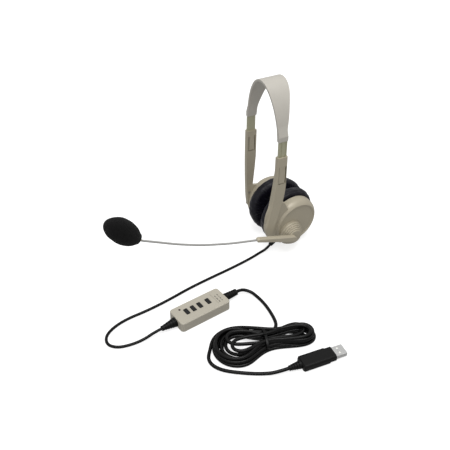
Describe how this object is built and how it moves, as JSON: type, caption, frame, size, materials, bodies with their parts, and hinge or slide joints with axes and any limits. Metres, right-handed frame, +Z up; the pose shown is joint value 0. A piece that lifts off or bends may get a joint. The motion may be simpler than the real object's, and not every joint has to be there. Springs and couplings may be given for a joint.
{
  "type": "office headset",
  "caption": "Wired office headset with padded ear cups on a sliding headband, a swivelling microphone boom, an in-line control box, a tied cord and a USB plug.",
  "frame": {"origin": "middle of the wearer's head between the two ear-pad faces", "axes": "+X towards the wearer's left, which is the microphone side, -Y forwards, +Z up"},
  "size_m": [0.2345, 0.2784, 0.1988],
  "materials": {
    "arm_plastic": "satin",
    "band_plastic": "satin",
    "strip_steel": "brushed",
    "screw_steel": "satin",
    "cushion_skin": "matte",
    "ear_foam": "matte",
    "mic_foam": "matte",
    "magnet": "satin",
    "diaphragm_film": "satin",
    "black_plastic": "matte",
    "boom_plastic": "satin",
    "wire_sleeve": "satin",
    "capsule_metal": "satin",
    "case_plastic": "satin",
    "button_rubber": "matte",
    "board_green": "satin",
    "chip_black": "matte",
    "light_lens": "gloss",
    "cord_sheath": "gloss",
    "moulded_black": "satin",
    "plug_steel": "bright",
    "plug_insert": "satin",
    "contact_gold": "bright"
  },
  "bodies": {
    "left_side": {"left_arm_cover": "arm_plastic", "left_arm_inner_shell": "arm_plastic", "left_speaker_baffle": "black_plastic", "left_speaker_frame": "black_plastic", "left_speaker_diaphragm": "diaphragm_film", "left_speaker_magnet": "magnet", "left_ear_cushion": "cushion_skin", "left_ear_foam_disc": "ear_foam", "left_shell_screws": "screw_steel", "cord_gland": "moulded_black", "headset_lead": "cord_sheath", "control_boot_headset_end": "moulded_black", "control_case_base": "case_plastic", "control_case_top": "case_plastic", "control_board": "board_green", "audio_chip": "chip_black", "push_switches": "chip_black", "status_light": "light_lens", "control_case_screws": "screw_steel", "control_boot_usb_end": "moulded_black", "usb_lead": "cord_sheath", "usb_lead_hank": "cord_sheath", "hank_tie": "moulded_black", "usb_lead_tail": "cord_sheath", "plug_boot": "moulded_black", "plug_overmould": "moulded_black", "plug_shell": "plug_steel", "plug_tongue": "plug_insert", "plug_contacts": "contact_gold"},
    "headband": {"headband": "band_plastic", "left_slide_strip": "strip_steel", "right_slide_strip": "strip_steel", "strip_pins": "screw_steel"},
    "right_side": {"right_arm_cover": "arm_plastic", "right_arm_inner_shell": "arm_plastic", "right_speaker_baffle": "black_plastic", "right_speaker_frame": "black_plastic", "right_speaker_diaphragm": "diaphragm_film", "right_speaker_magnet": "magnet", "right_ear_cushion": "cushion_skin", "right_ear_foam_disc": "ear_foam", "right_shell_screws": "screw_steel"},
    "boom": {"boom_turret": "arm_plastic", "boom_bar": "boom_plastic", "boom_wire": "wire_sleeve", "boom_pivot_washer": "screw_steel", "boom_pivot_screw": "screw_steel", "mic_housing": "boom_plastic", "mic_capsule": "capsule_metal", "mic_windscreen": "mic_foam"},
    "volume_down_button": {"volume_down_button": "button_rubber"},
    "volume_up_button": {"volume_up_button": "button_rubber"},
    "mic_mute_button": {"mic_mute_button": "button_rubber"},
    "speaker_mute_button": {"speaker_mute_button": "button_rubber"}
  },
  "joints": [
    {"name": "left_slider", "type": "slide", "parent": "left_side", "child": "headband", "axis": [0, 0, 1], "range_m": [-0.017, 0.013]},
    {"name": "right_slider", "type": "slide", "parent": "headband", "child": "right_side", "axis": [0, 0, 1], "range_m": [-0.013, 0.017]},
    {"name": "boom_swivel", "type": "hinge", "parent": "left_side", "child": "boom", "pos_m": [0.03185, -0.00618, -0.01153], "axis": [0.9943, 0.0802, -0.0698], "range_deg": [-240, 20]},
    {"name": "volume_down_press", "type": "slide", "parent": "left_side", "child": "volume_down_button", "axis": [0, 0, -1], "range_m": [0, 0.0006], "stiffness_N_per_m": 1500, "springref_m": -0.0002},
    {"name": "volume_up_press", "type": "slide", "parent": "left_side", "child": "volume_up_button", "axis": [0, 0, -1], "range_m": [0, 0.0006], "stiffness_N_per_m": 1500, "springref_m": -0.0002},
    {"name": "mic_mute_press", "type": "slide", "parent": "left_side", "child": "mic_mute_button", "axis": [0, 0, -1], "range_m": [0, 0.0006], "stiffness_N_per_m": 1500, "springref_m": -0.0002},
    {"name": "speaker_mute_press", "type": "slide", "parent": "left_side", "child": "speaker_mute_button", "axis": [0, 0, -1], "range_m": [0, 0.0006], "stiffness_N_per_m": 1500, "springref_m": -0.0002}
  ]
}
